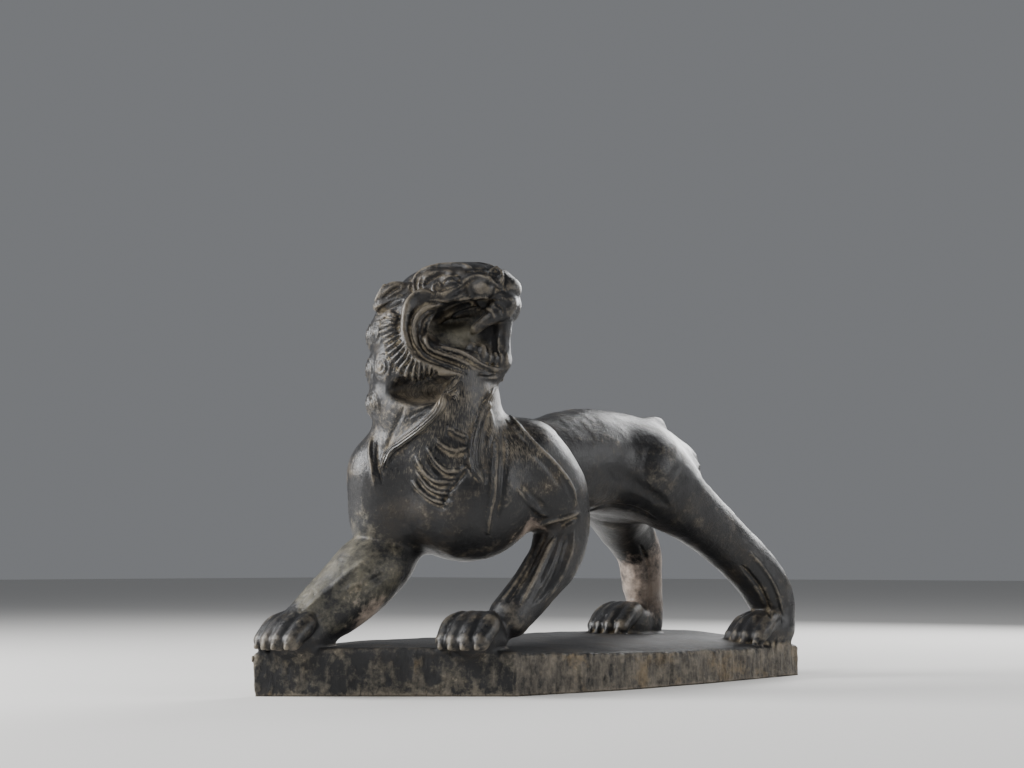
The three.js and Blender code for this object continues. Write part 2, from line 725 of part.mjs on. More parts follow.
// Solids that can be cut, from meshes and back
const wasm = await Module();
wasm.setup();
function solidOf(geometry) {
  const bare = geometry.clone();
  bare.deleteAttribute('normal');
  bare.deleteAttribute('uv');
  const merged = mergeVertices(bare, 1e-4);
  return new wasm.Manifold(new wasm.Mesh({
    numProp: 3,
    vertProperties: new Float32Array(merged.getAttribute('position').array),
    triVerts: new Uint32Array(merged.getIndex().array),
  }));
}

// Where two folds of the skin touch at a corner, draws each back towards its own neighbours
function partFolds(places, faces) {
  const together = new Map();
  for (let i = 0; i < places.length / 3; i += 1) {
    const key = Array.from(places.subarray(3 * i, 3 * i + 3), (value) => value.toFixed(3)).join();
    together.set(key, [...(together.get(key) ?? []), i]);
  }
  const touching = new Set([...together.values()].filter((group) => group.length > 1).flat());
  const pulls = new Map([...touching].map((corner) => [corner, []]));
  for (let i = 0; i < faces.length; i += 3) {
    const face = faces.subarray(i, i + 3);
    for (const corner of face) {
      if (touching.has(corner)) pulls.get(corner).push(...face.filter((other) => other !== corner));
    }
  }
  for (const [corner, others] of pulls) {
    for (let i = 0; i < 3; i += 1) {
      const middle = others.reduce((sum, other) => sum + places[3 * other + i], 0) / others.length;
      places[3 * corner + i] = lerp(places[3 * corner + i], middle, foldGap);
    }
  }
}

function geometryOf(solid) {
  const mesh = solid.getMesh();
  const places = new Float32Array(mesh.vertProperties);
  partFolds(places, mesh.triVerts);
  const geometry = new THREE.BufferGeometry();
  geometry.setAttribute('position', new THREE.BufferAttribute(places, 3));
  geometry.setIndex(new THREE.BufferAttribute(new Uint32Array(mesh.triVerts), 1));
  geometry.computeVertexNormals();
  return geometry;
}

// The tail is broken off short, with a nearly flat face
const missingTail = new THREE.BoxGeometry(...[1, 1, 1].map((side) => side * tailBreak.size * part));
missingTail.rotateY(degToRad(tailBreak.lean));
missingTail.translate(...place(tailBreak.middle).toArray());
const carvedBlock = solidOf(skin).subtract(solidOf(missingTail));

const darkStone = new THREE.MeshStandardMaterial({ color: 0x2b2a27, roughness: 0.42, metalness: 0 });
const geometry = geometryOf(carvedBlock);
geometry.computeBoundingBox();
const middle = geometry.boundingBox.getCenter(new THREE.Vector3());
geometry.translate(-middle.x, -middle.y, 0);
const lion = new THREE.Mesh(geometry, darkStone);
lion.name = 'stone_lion';

const object = new THREE.Group();
object.add(lion);
export default object;
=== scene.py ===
# A striding stone lion with its head turned over its left shoulder,
# carved in one block with the irregular plinth that it stands on.
import bpy
import math
import numpy as np
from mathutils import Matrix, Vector
from mathutils.bvhtree import BVHTree


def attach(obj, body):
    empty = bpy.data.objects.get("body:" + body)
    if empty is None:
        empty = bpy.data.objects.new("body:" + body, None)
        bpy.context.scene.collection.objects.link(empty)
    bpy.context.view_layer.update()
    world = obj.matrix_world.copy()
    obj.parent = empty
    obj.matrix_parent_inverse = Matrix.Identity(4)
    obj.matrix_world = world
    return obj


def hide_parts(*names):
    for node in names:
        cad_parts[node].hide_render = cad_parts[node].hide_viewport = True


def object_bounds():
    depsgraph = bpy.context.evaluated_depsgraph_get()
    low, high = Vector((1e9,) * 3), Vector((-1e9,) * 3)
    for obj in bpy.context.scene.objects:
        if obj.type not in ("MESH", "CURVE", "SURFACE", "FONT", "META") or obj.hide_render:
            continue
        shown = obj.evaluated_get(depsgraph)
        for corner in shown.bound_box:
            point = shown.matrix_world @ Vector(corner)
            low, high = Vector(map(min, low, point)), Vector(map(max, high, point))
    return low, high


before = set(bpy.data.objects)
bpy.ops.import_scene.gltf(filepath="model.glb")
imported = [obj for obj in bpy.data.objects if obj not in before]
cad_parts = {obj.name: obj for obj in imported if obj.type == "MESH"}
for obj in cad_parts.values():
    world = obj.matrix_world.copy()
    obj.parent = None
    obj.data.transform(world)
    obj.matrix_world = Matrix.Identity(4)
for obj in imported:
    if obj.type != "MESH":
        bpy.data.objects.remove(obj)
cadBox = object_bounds()
print("frame loaded")

# Camera: where the photographer stood, in metres, with its turn from +X and its rise in degrees
camera = {
    "place": (-0.8649, -0.6922, 0.0726), "turn": 40.0, "rise": 5.74,
    "pixelsAway": 1800.0, "pixelsWide": 1024.0, "pixelsHigh": 768.0,
}


def unit(vector):
    vector = np.asarray(vector, float)
    return vector / np.linalg.norm(vector)


turn, rise = math.radians(camera["turn"]), math.radians(camera["rise"])
sightForward = np.array((math.cos(turn) * math.cos(rise), math.sin(turn) * math.cos(rise), math.sin(rise)))
sightRight = np.array((math.sin(turn), -math.cos(turn), 0.0))
sightUp = np.cross(sightRight, sightForward)

lens = bpy.data.cameras.new("photo_camera")
lens.sensor_width = 36.0
lens.lens = camera["pixelsAway"] / camera["pixelsWide"] * lens.sensor_width
eye = bpy.data.objects.new("photo_camera", lens)
eye.location = camera["place"]
eye.rotation_euler = Vector(sightForward).to_track_quat("-Z", "Y").to_euler()
bpy.context.collection.objects.link(eye)
bpy.context.scene.camera = eye

# The block is built up on a grid of distances, in millimetres. A place on the figure is
# given from the middle of the plinth, and upwards from the plinth's full height.
block = {"cell": 0.9, "room": 9.0, "figureHeight": 226.0, "cellsBelow": 3.5, "mostFaces": 196000}
plinth = {
    "length": 366.0, "width": 132.0, "height": 28.5, "wear": 3.0, "lean": 0.6, "fillet": 3.0,
    "plan": ((-187, 68.4), (-91, -46), (-11.5, -62), (73.4, -66), (183, -63.1), (173, 65)),
    "fallFrontRight": 3.5, "fallFrontLeft": 5.0, "fallRearLeft": 9.0,
    "lumps": ((26.0, 1.1), (9.0, 0.7), (4.0, 0.3)),  # size and height of the hewn unevenness
    "lumpsOnTop": 0.3,
}


def plinthTop(x, y):
    across = np.clip(0.5 - y / plinth["width"], 0, 1)
    along = np.clip(0.5 + x / plinth["length"], 0, 1)
    left = plinth["fallFrontLeft"] + (plinth["fallRearLeft"] - plinth["fallFrontLeft"]) * along
    left = left * across ** 2.5
    front = plinth["fallFrontRight"] * np.maximum(0, 1 - along * 5) * (1 - across)
    return plinth["height"] - left - front


def place(point):
    return np.array((point[0], point[1], plinth["height"] + point[2]), float)


# A smooth curve through stations, in as many steps from each to the next
def curveThrough(stations, steps):
    stations = np.asarray(stations, float)
    padded = np.vstack((2 * stations[0] - stations[1], stations, 2 * stations[-1] - stations[-2]))
    found = []
    for i in range(len(stations) - 1):
        p0, p1, p2, p3 = padded[i:i + 4]
        d0, d1, d2 = [max(np.linalg.norm(b - a) ** 0.5, 1e-4) for a, b in ((p0, p1), (p1, p2), (p2, p3))]
        t1 = ((p1 - p0) / d0 - (p2 - p0) / (d0 + d1) + (p2 - p1) / d1) * d1
        t2 = ((p2 - p1) / d1 - (p3 - p1) / (d1 + d2) + (p3 - p2) / d2) * d1
        for w in np.arange(steps) / steps:
            bent = p1 + t1 * w + (3 * (p2 - p1) - 2 * t1 - t2) * w * w
            found.append(bent + (2 * (p1 - p2) + t1 + t2) * w ** 3)
    found.append(stations[-1])
    return np.array(found)


# Even noise from a seeded lattice, between -1 and 1
lattice = np.random.default_rng(11).uniform(-1, 1, (32, 32, 32)).astype(np.float32)


def lumps(x, y, z, size):
    parts = []
    for axis in (x, y, z):
        scaled = np.asarray(axis, np.float32) / size + 100.37
        whole = np.floor(scaled).astype(int)
        share = scaled - whole
        parts.append((whole % 32, (whole + 1) % 32, share * share * (3 - 2 * share)))
    (x0, x1, fx), (y0, y1, fy), (z0, z1, fz) = parts
    low = (lattice[x0, y0, z0] * (1 - fx) + lattice[x1, y0, z0] * fx) * (1 - fy)
    low = low + (lattice[x0, y1, z0] * (1 - fx) + lattice[x1, y1, z0] * fx) * fy
    high = (lattice[x0, y0, z1] * (1 - fx) + lattice[x1, y0, z1] * fx) * (1 - fy)
    high = high + (lattice[x0, y1, z1] * (1 - fx) + lattice[x1, y1, z1] * fx) * fy
    return low * (1 - fz) + high * fz


class Limb:  # a rounded limb through stations of x, y, z and radius
    def __init__(self, stations, across=(0, 0, 1), stretch=1.0, steps=10):
        spots = np.array([place(station[:3]) for station in stations])
        self.path = curveThrough(spots, steps)
        self.radius = curveThrough([[station[3], 0.0] for station in stations], steps)[:, 0]
        self.way, self.stretch = unit(across), stretch
        reach = self.radius.max() * stretch
        self.low, self.high = self.path.min(0) - reach, self.path.max(0) + reach

    def distance(self, x, y, z, margin):
        least = np.full(np.broadcast_shapes(x.shape, y.shape, z.shape), 1e6, np.float32)
        shrink = 1 / self.stretch - 1
        for start, end, radius, nextRadius in zip(self.path, self.path[1:], self.radius, self.radius[1:]):
            reach = max(radius, nextRadius) * self.stretch + margin
            low, high = np.minimum(start, end) - reach, np.maximum(start, end) + reach
            spot = []
            for line, a, b in zip((x, y, z), low, high):
                spot.append(slice(*np.searchsorted(line.ravel(), (a, b))))
            if any(cut.stop <= cut.start for cut in spot):
                continue
            dx = x[spot[0]] - np.float32(start[0])
            dy = y[:, spot[1]] - np.float32(start[1])
            dz = z[:, :, spot[2]] - np.float32(start[2])
            run = (end - start).astype(np.float32)
            share = np.clip((dx * run[0] + dy * run[1] + dz * run[2]) / max(run @ run, 1e-9), 0, 1)
            ox, oy, oz = dx - run[0] * share, dy - run[1] * share, dz - run[2] * share
            if shrink:
                pull = (ox * self.way[0] + oy * self.way[1] + oz * self.way[2]) * shrink
                ox, oy, oz = ox + self.way[0] * pull, oy + self.way[1] * pull, oz + self.way[2] * pull
            away = np.sqrt(ox * ox + oy * oy + oz * oz) - radius - (nextRadius - radius) * share
            cut = tuple(spot)
            least[cut] = np.minimum(least[cut], away)
        return least


class Mass:  # a rounded mass with three half sizes, turned about Z
    def __init__(self, centre, half, turned=0.0):
        self.middle = place(centre)
        self.half, self.turned = half, math.radians(turned)
        self.low, self.high = self.middle - max(half), self.middle + max(half)

    def distance(self, x, y, z, margin):
        dx, dy, dz = x - self.middle[0], y - self.middle[1], z - self.middle[2]
        cos, sin = math.cos(self.turned), math.sin(self.turned)
        px = (cos * dx + sin * dy) / self.half[0]
        py = (cos * dy - sin * dx) / self.half[1]
        pz = dz / self.half[2]
        far = np.sqrt(px * px + py * py + pz * pz)
        lean = np.sqrt((px / self.half[0]) ** 2 + (py / self.half[1]) ** 2 + (pz / self.half[2]) ** 2)
        return far * (far - 1) / np.maximum(lean, 1e-6)


class Hollow:  # cut in from both sides of the head, up to a wall along its middle
    def __init__(self, profile, middle, side, wall, reach):
        self.profile, self.middle, self.side, self.wall = profile, middle, side, wall
        self.low, self.high = middle - reach, middle + reach

    def distance(self, x, y, z, margin):
        aside = (x - self.middle[0]) * self.side[0] + (y - self.middle[1]) * self.side[1]
        return np.maximum(self.profile.distance(x, y, z, margin), self.wall - np.abs(aside))


class Slab:  # the plinth: a hewn slab with an uneven plan
    low = np.append(np.min(plinth["plan"], axis=0), 0.0)
    high = np.append(np.max(plinth["plan"], axis=0), plinth["height"])

    def distance(self, x, y, z, margin):
        plan = np.array(plinth["plan"], float)
        flatX, flatY = np.broadcast_arrays(x[:, :, :1], y[:, :, :1])
        least = np.full(flatX.shape, 1e6)
        inside = np.zeros(flatX.shape, bool)
        for (ax, ay), (bx, by) in zip(plan, np.roll(plan, -1, axis=0)):
            runX, runY = bx - ax, by - ay
            share = np.clip(((flatX - ax) * runX + (flatY - ay) * runY) / (runX ** 2 + runY ** 2), 0, 1)
            least = np.minimum(least, np.hypot(flatX - ax - runX * share, flatY - ay - runY * share))
            if ay != by:
                inside ^= ((ay > flatY) != (by > flatY)) & (flatX < ax + runX * (flatY - ay) / (by - ay))
        edge = np.where(inside, -least, least)
        front = np.clip(-x * 2 / plinth["length"], 0, 1) * np.clip(y * 2 / plinth["width"], 0, 1)
        edge = edge + plinth["lean"] * front * np.clip(1 - z / plinth["height"], 0, 1)
        rough = sum(height * (lumps(x, y, z, size) + 1) / 2 for size, height in plinth["lumps"])
        edge = edge + rough
        top = z - plinthTop(x, y) + rough * plinth["lumpsOnTop"]
        wear = np.maximum(plinth["wear"] - np.abs(edge - top), 0) / plinth["wear"]
        return np.maximum(np.maximum(edge, top) + wear ** 2 * plinth["wear"] / 4, -z)


class Stone:  # the grid of distances
    def __init__(self, low, high, cell):
        self.low, self.cell = np.array(low, float), cell
        count = np.ceil((np.array(high) - self.low) / cell).astype(int) + 1
        self.value = np.full(count, 100.0, np.float32)

    def combine(self, shape, blend, sign):
        soft = max(blend, 0.01)
        margin = soft + 3 * self.cell
        first = np.maximum(np.ceil((shape.low - margin - self.low) / self.cell).astype(int), 0)
        last = np.floor((shape.high + margin - self.low) / self.cell).astype(int) + 1
        last = np.minimum(last, self.value.shape)
        spot = tuple(slice(a, b) for a, b in zip(first, last))
        x, y, z = [(low + self.cell * np.arange(a, b)).astype(np.float32)
                   for low, a, b in zip(self.low, first, last)]
        distance = shape.distance(x[:, None, None], y[None, :, None], z[None, None, :], margin)
        there = sign * self.value[spot]
        overlap = np.maximum(soft - np.abs(there - distance), 0) / soft
        self.value[spot] = sign * (np.minimum(there, distance) - overlap ** 2 * soft / 4)

    def add(self, shape, blend):
        self.combine(shape, blend, 1.0)

    def cut(self, shape, blend):
        self.combine(shape, blend, -1.0)

    # The skin as points and four-cornered faces: one point in each cell that it passes through
    def skin(self):
        value, inside = self.value, self.value < 0
        inCell = np.zeros([n - 1 for n in value.shape], np.uint8)
        corners = np.array([(a, b, c) for a in (0, 1) for b in (0, 1) for c in (0, 1)])
        for a, b, c in corners:
            inCell += inside[a:value.shape[0] - 1 + a, b:value.shape[1] - 1 + b, c:value.shape[2] - 1 + c]
        mixed = (inCell > 0) & (inCell < 8)
        cells = np.argwhere(mixed)
        number = np.full(mixed.shape, -1, np.int32)
        number[mixed] = np.arange(len(cells))
        total, hits = np.zeros((len(cells), 3)), np.zeros(len(cells))
        for start in corners:
            for axis in range(3):
                if start[axis]:
                    continue
                end = start.copy()
                end[axis] = 1
                a, b = value[tuple((cells + start).T)], value[tuple((cells + end).T)]
                crossed = (a < 0) != (b < 0)
                point = np.tile(start.astype(float), (len(cells), 1))
                point[:, axis] = a / np.where(crossed, a - b, 1)
                total[crossed] += point[crossed]
                hits += crossed
        points = self.low + self.cell * (cells + total / hits[:, None])
        faces = []
        for axis in range(3):
            b, c = (axis + 1) % 3, (axis + 2) % 3
            here = [slice(1, -1)] * 3
            ahead = list(here)
            here[axis], ahead[axis] = slice(0, -1), slice(1, None)
            change = inside[tuple(here)] != inside[tuple(ahead)]
            offset = np.array([1, 1, 1])
            offset[axis] = 0
            spots = np.argwhere(change) + offset
            stepB, stepC = np.eye(3, dtype=int)[b], np.eye(3, dtype=int)[c]
            ring = [number[tuple((spots - move).T)] for move in (stepB + stepC, stepC, 0 * stepB, stepB)]
            quads = np.stack(ring, axis=1)
            outward = inside[tuple(spots.T)]
            quads[~outward] = quads[~outward][:, ::-1]
            faces.append(quads)
        return points, np.vstack(faces)


blockLow = (-plinth["length"] / 2 - block["room"], -plinth["width"] / 2 - block["room"],
            -block["cellsBelow"] * block["cell"])
blockHigh = (plinth["length"] / 2 + block["room"], plinth["width"] / 2 + block["room"],
             plinth["height"] + block["figureHeight"] + block["room"])
stone = Stone(blockLow, blockHigh, block["cell"])

# Trunk, chest, neck and the stub of the tail
body = {
    "trunk": [[-72, 8, 95, 36], [-25, 6, 100, 30], [33, 1, 109, 33], [75, -4, 107, 32], [104, -7, 102, 27]],
    "chest": ([-80, 3, 87], [39, 45, 41], 40),
    "neck": [[-88, 11, 114, 37], [-93, 14, 138, 38], [-97, 14, 160, 35], [-102, 14, 178, 28]],
    "tail": [[84, -4, 131, 8], [95, -5.5, 134, 6.5], [106, -6, 134.5, 6]],
    "tailBreak": ([114, -6, 138], [12.5, 14, 14]),
}
stone.add(Limb(body["trunk"]), 0)
stone.add(Mass(*body["chest"]), 10)
stone.add(Limb(body["neck"]), 9)
stone.add(Limb(body["tail"]), 5)
stone.cut(Mass(*body["tailBreak"]), 0.5)

# Legs, with their paws and toes. A paw has its middle and the heading of its toes
legs = {
    "foreLeft": {
        "stations": [[-56, -22, 104, 26], [-44, -31, 88, 22], [-35, -34, 68, 16.5], [-39, -33, 50, 15.5],
                     [-54, -30, 33, 13.5], [-74, -27, 15, 12]],
        "paw": (-95, -22), "heading": 14,
    },
    "foreRight": {
        "stations": [[-108, 33, 96, 27], [-107, 37, 72, 23], [-105, 38, 56, 19], [-123, 42.5, 37, 20.5],
                     [-141, 49, 21, 18], [-156, 54, 11, 14]],
        "paw": (-159, 54), "heading": 4,
    },
    "hindLeft": {
        "stations": [[66, -20, 103, 29], [102, -32, 78, 20], [134, -40.5, 56, 16.5], [160, -47.6, 34, 16.5],
                     [171, -49.1, 18, 15], [170, -50.1, 5, 14]],
        "paw": (160, -50.1), "heading": -6,
    },
    "hindRight": {
        "stations": [[82, 14, 94, 27], [104, 25, 74, 19], [124, 26, 52, 14.5], [127.5, 26, 33, 13.5],
                     [132, 26.5, 17, 12], [130, 26, 5, 12]],
        "paw": (112, 27), "heading": -2,
    },
}
paw = {
    "half": (23, 14.5, 14), "middleUp": 6, "toes": 4, "spread": 7.2, "root": 4, "rootUp": 14.5, "bend": 13.5,
    "knuckleUp": 12, "tip": 23, "tipUp": 4.5, "radius": 6, "setBack": 1.2, "claw": 2.4,
}
for leg in legs.values():
    (pawX, pawY), heading = leg["paw"], math.radians(leg["heading"])
    ground = float(plinthTop(np.array(pawX), np.array(pawY))) - plinth["height"]

    def onPaw(ahead, aside, up, radius):
        x = pawX - ahead * math.cos(heading) - aside * math.sin(heading)
        y = pawY - ahead * math.sin(heading) + aside * math.cos(heading)
        return [x, y, ground + up, radius]

    stone.add(Limb(leg["stations"]), 9)
    stone.add(Mass((pawX, pawY, ground + paw["middleUp"]), paw["half"], leg["heading"]), 4)
    for toe in range(paw["toes"]):
        fromMiddle = toe - (paw["toes"] - 1) / 2
        aside, tip = fromMiddle * paw["spread"], paw["tip"] - paw["setBack"] * fromMiddle ** 2
        finger = [(paw["root"], aside * 0.8, paw["rootUp"], paw["radius"]),
                  (tip - paw["tip"] + paw["bend"], aside, paw["knuckleUp"], paw["radius"]),
                  (tip, aside * 1.05, paw["tipUp"], paw["radius"] * 0.85)]
        claw = [(tip + paw["claw"], aside * 1.05, paw["tipUp"], paw["claw"]),
                (tip + 2 * paw["claw"], aside * 1.05, paw["tipUp"] / 4, paw["claw"] * 0.6)]
        stone.add(Limb([onPaw(*station) for station in finger], steps=4), 1.4)
        stone.add(Limb([onPaw(*station) for station in claw], steps=2), 0.5)

# Head, laid out forward, to its right side and up from the middle of the skull
head = {"middle": (-91, 13, 188), "forward": (0.38, -0.925), "reach": 62, "frontTeeth": 4}
headForward = np.array((*head["forward"], 0.0))
headSide = np.array((head["forward"][1], -head["forward"][0], 0.0))
headMiddle = place(head["middle"])
headTurn = math.degrees(math.atan2(headForward[1], headForward[0]))


def onHead(station):
    forward, side, up, *radius = station
    return [*(np.array(head["middle"]) + headForward * forward + headSide * side + (0, 0, up)), *radius]


def headMass(centre, half):
    return Mass(onHead(centre), half, headTurn)


def headLimb(stations, stretch=1.0):
    return Limb([onHead(station) for station in stations], across=headSide, stretch=stretch)


def sideHollow(stations, wall):
    return Hollow(headLimb(stations, head["reach"]), headMiddle, headSide, wall, head["reach"])


stone.add(headMass([2, 0, 6], [30, 28, 24.5]), 6)  # skull
stone.add(headMass([-12, 0, -8], [27, 31, 24]), 8)  # cheeks
stone.add(headLimb([[4, 0, 17, 14], [22, 0, 20.5, 11], [37, 0, 18.5, 8.5]], 1.7), 4)  # muzzle
stone.add(headLimb([[-12, 0, -22, 14], [10, 0, -29, 9.5], [34, 0, -33, 6]], 1.9), 4)  # jaw
stone.add(headMass([43, 0, 15.5], [6.5, 9, 7]), 2)  # nose
stone.add(headLimb([[24, 0, 10, 5], [41, 0, 8, 5.5]], 2.4), 3)  # upper lip
mouth = [[10, 0, -8.5, 9.5], [18, 0, -7.5, 13.5], [32, 0, -7, 16], [52, 0, -9, 17]]
stone.cut(sideHollow(mouth, 6), 3)
stone.cut(sideHollow([[18, 0, -5, 8], [27, 0, -7, 11]], 2.5), 2)
for side in (1, -1):
    stone.cut(headMass([4, 36 * side, -45], [20, 12, 8.5]), 5)  # recess under the jaw
stone.add(headMass([18, 0, -6], [25, 4, 24]), 2)
stone.add(headLimb([[41, 0, 6, 5.5], [39.5, 0, -10, 4.5], [38, 0, -28, 6]]), 3)  # bar in front
stone.add(headLimb([[-6, 0, -12, 9], [8, 0, -13, 8], [20, 0, -12, 5]], 2.1), 6)  # tongue
stone.add(headLimb([[-6, 0, -21, 9], [10, 0, -22, 7], [22, 0, -24, 5]], 2), 6)  # floor of the mouth
for side in (1, -1):
    stone.add(headMass([14, 21 * side, 18], [5.5, 4.5, 5]), 1.5)  # eye
    stone.add(headMass([31, 14.5 * side, 14], [7.5, 5, 6]), 2)  # swelling above the lip
    ear = [[-10, 21 * side, 13, 5.5], [-20, 25 * side, 12.5, 6], [-27.5, 26.5 * side, 4.5, 3.2]]
    stone.add(headLimb(ear), 2)
    tusk = [[43, 5 * side, 1, 4], [34, 9 * side, -3, 3.8], [26, 10 * side, -8.5, 3.4]]
    stone.add(headLimb(tusk), 2)
    stone.add(headLimb([[44, 4 * side, 6, 5], [37, 7 * side, 3, 4.5]]), 3)
    stone.add(headMass([25, 15 * side, -21], [4, 3, 4.5]), 1.5)  # lower teeth
    stone.add(headMass([31, 13 * side, -24], [3.4, 3, 6]), 1.5)
    for tooth in range(head["frontTeeth"]):
        stone.add(headMass([35 + tooth * 2.4, (11 - tooth * 2.6) * side, -26], [1.8, 2, 4]), 0.8)
stone.add(Slab(), plinth["fillet"])
print("block roughed out", stone.value.shape)

# The first skin, on which all that is carved is laid out
points, quads = stone.skin()


def normalsOf(points, quads):
    across = np.cross(points[quads[:, 2]] - points[quads[:, 0]], points[quads[:, 3]] - points[quads[:, 1]])
    normals = np.zeros_like(points)
    for i in range(3):
        weight = np.repeat(across[:, i], quads.shape[1])
        normals[:, i] = np.bincount(quads.ravel(), weights=weight, minlength=len(points))
    return normals / np.maximum(np.linalg.norm(normals, axis=1), 1e-9)[:, None]


normals = normalsOf(points, quads)
tree = BVHTree.FromPolygons(points.tolist(), quads.tolist())
eyePlace = np.array(camera["place"]) * 1000


# The place on the skin that shows at a place in the photograph, with the way out of the stone there
def seen(spot):
    across, up = spot[0] - camera["pixelsWide"] / 2, camera["pixelsHigh"] / 2 - spot[1]
    way = sightForward + sightRight * across / camera["pixelsAway"] + sightUp * up / camera["pixelsAway"]
    way = unit(way)
    hit, normal, _, _ = tree.ray_cast(Vector(eyePlace), Vector(way))
    if hit is None:
        tries = [tree.find_nearest(Vector(eyePlace + way * far)) for far in range(900, 1360, 10)]
        hit, normal, _, _ = min(tries, key=lambda found: found[3])
    return (*hit, *normal)


def onSkin(point):
    hit, normal, _, _ = tree.find_nearest(Vector(point))
    return (*hit, *normal)


def lineSeen(spots, steps=4):
    return np.array([seen(spot) for spot in curveThrough(spots, steps)])


def acrossTheHead(line):
    aside = (line[:, :3] - headMiddle) @ headSide
    return np.array([onSkin(point) for point in line[:, :3] - 2 * aside[:, None] * headSide])


push = np.zeros(len(points))  # how far each point is moved outwards
strandAcross = np.zeros(len(points))  # where it lies across a strand of hair, and how much it is hair
strandMask = np.zeros(len(points))


# Works a groove (depth above nought) or a ridge (below nought) along a line on the skin
def work(line, halfWidth, depth, square=2, blunt=0.35, hair=0.0):
    spots, ways = line[:, :3], line[:, 3:]
    near = np.all((points > spots.min(0) - halfWidth) & (points < spots.max(0) + halfWidth), axis=1)
    index = np.flatnonzero(near)
    local, facing = points[index], normals[index]
    best, taperThere, acrossThere = np.full(len(index), 9.0), np.ones(len(index)), np.zeros(len(index))
    for i in range(len(spots) - 1):
        run = spots[i + 1] - spots[i]
        gap = local - spots[i]
        share = np.clip(gap @ run / max(run @ run, 1e-9), 0, 1)
        off = gap - share[:, None] * run
        gone = (i + share) / (len(spots) - 1)
        taper = np.minimum(1, blunt + 5 * np.minimum(gone, 1 - gone))
        closeness = np.linalg.norm(off, axis=1) / (halfWidth * taper)
        closer = (closeness < best) & (facing @ (ways[i] + ways[i + 1]) > 0.2)
        best[closer], taperThere[closer] = closeness[closer], taper[closer]
        if hair:
            acrossThere[closer] = (off @ unit(np.cross(run, ways[i])))[closer]
    touched = best < 1
    amount = depth * taperThere * (1 - np.minimum(best, 1) ** square) ** 2
    push[index] -= np.where(touched, amount, 0)
    if hair:
        strandAcross[index[touched]] = acrossThere[touched]
        strandMask[index[touched]] = hair * (1 - best[touched] ** 4)


# Face: the folds of the lips with dark grooves between them, brow, eye, temple and ear.
# Each line has its places in the photograph, half its width and its depth in millimetres
faceLines = [
    ([(434, 295), (426, 294), (416, 297), (409, 305), (406, 317), (406, 332), (410, 347), (419, 359),
      (431, 366), (446, 371), (462, 375)], 4.4, -4.2),
    ([(500, 288), (490, 281), (480, 277), (470, 278), (462, 283), (454, 289), (445, 294),
      (434, 295)], 2.4, -2.2),
    ([(447, 304), (437, 303), (427, 302), (419, 306), (412, 314), (410, 325), (411, 337), (415, 348),
      (424, 358), (436, 364), (450, 369), (466, 374)], 1.9, 2.4),
    ([(437, 305), (428, 307), (420, 312), (415, 320), (413, 331), (416, 343), (421, 351)], 1.5, -2.0),
    ([(436, 311), (428, 312), (421, 319), (419, 330), (421, 342), (427, 351), (438, 357), (452, 362),
      (466, 368)], 1.7, 2.2),
    ([(435, 313), (429, 318), (425, 328), (425, 340), (430, 349), (442, 354), (454, 358), (466, 364),
      (476, 370)], 2.0, -2.4),
    ([(440, 350), (452, 354), (464, 358), (474, 364), (484, 369), (496, 374)], 1.2, 1.6),
    ([(437, 346), (448, 349), (461, 352), (471, 357), (481, 364), (492, 368), (503, 370)], 1.7, -1.6),
    ([(478, 377), (488, 378), (498, 378)], 1.6, -0.9),
    ([(478, 373), (490, 374), (500, 374)], 1.2, 1.2),
    ([(409, 287), (421, 273), (436, 267), (450, 266), (463, 266), (475, 271)], 2.2, -1.8),
    ([(424, 285), (430, 278), (439, 274), (450, 273), (459, 275)], 2.6, 2.4),
    ([(443, 285), (447, 280), (453, 278), (459, 281), (461, 286)], 1.2, 1.0),
    ([(442, 287), (438, 283), (434, 285), (433, 290), (437, 293), (442, 291)], 1.2, -1.3),
    ([(413, 280), (411, 287), (413, 292)], 1.1, 1.3),
    ([(418, 278), (416, 285), (417, 291)], 1.1, 1.3),
    ([(423, 277), (421, 284), (422, 290)], 1.1, 1.3),
    ([(465, 272), (474, 270), (484, 271), (494, 276)], 1.4, 1.0),
    ([(460, 262), (474, 262), (488, 265), (500, 272)], 1.6, -0.9),
    ([(490, 283), (488, 276), (492, 270), (498, 270), (502, 275), (501, 281), (497, 284)], 1.5, -1.5),
    ([(494, 277), (497, 275), (498, 279)], 1.2, 1.0),
    ([(503, 272), (505, 279), (504, 286), (506, 293)], 1.6, 0.9),
    ([(374, 308), (383, 304), (393, 300), (402, 296)], 1.5, -1.6),
    ([(382, 299), (389, 293), (396, 288), (400, 286)], 2.0, 1.8),
    ([(376, 315), (385, 309), (395, 304), (403, 300)], 1.8, 2.6),
    ([(386, 283), (380, 292), (375, 303)], 1.3, -1.2),
    ([(441, 312), (449, 307), (458, 303), (468, 300), (480, 297)], 1.3, -1.4),
    ([(446, 318), (455, 312), (465, 308), (476, 305)], 1.3, 1.6),
    ([(440, 325), (449, 321), (461, 319), (474, 318)], 1.5, -1.4),
    ([(436, 343), (448, 346), (460, 349), (473, 352)], 1.4, 1.4),
    ([(499, 336), (499, 345), (499, 353)], 1.4, -1.2),
    ([(471, 304), (475, 306), (478, 309)], 2.2, 2.4),
    ([(455, 301), (468, 298), (482, 297), (497, 298), (512, 300)], 1.2, -1.2),
    ([(496, 303), (502, 308), (504, 316)], 1.8, 1.2),
    ([(486, 308), (492, 312), (495, 319)], 1.6, -1.0),
]
strokes = []
for spots, halfWidth, depth in faceLines:
    near = lineSeen(spots)
    strokes += [(near, halfWidth, depth), (acrossTheHead(near), halfWidth, depth)]

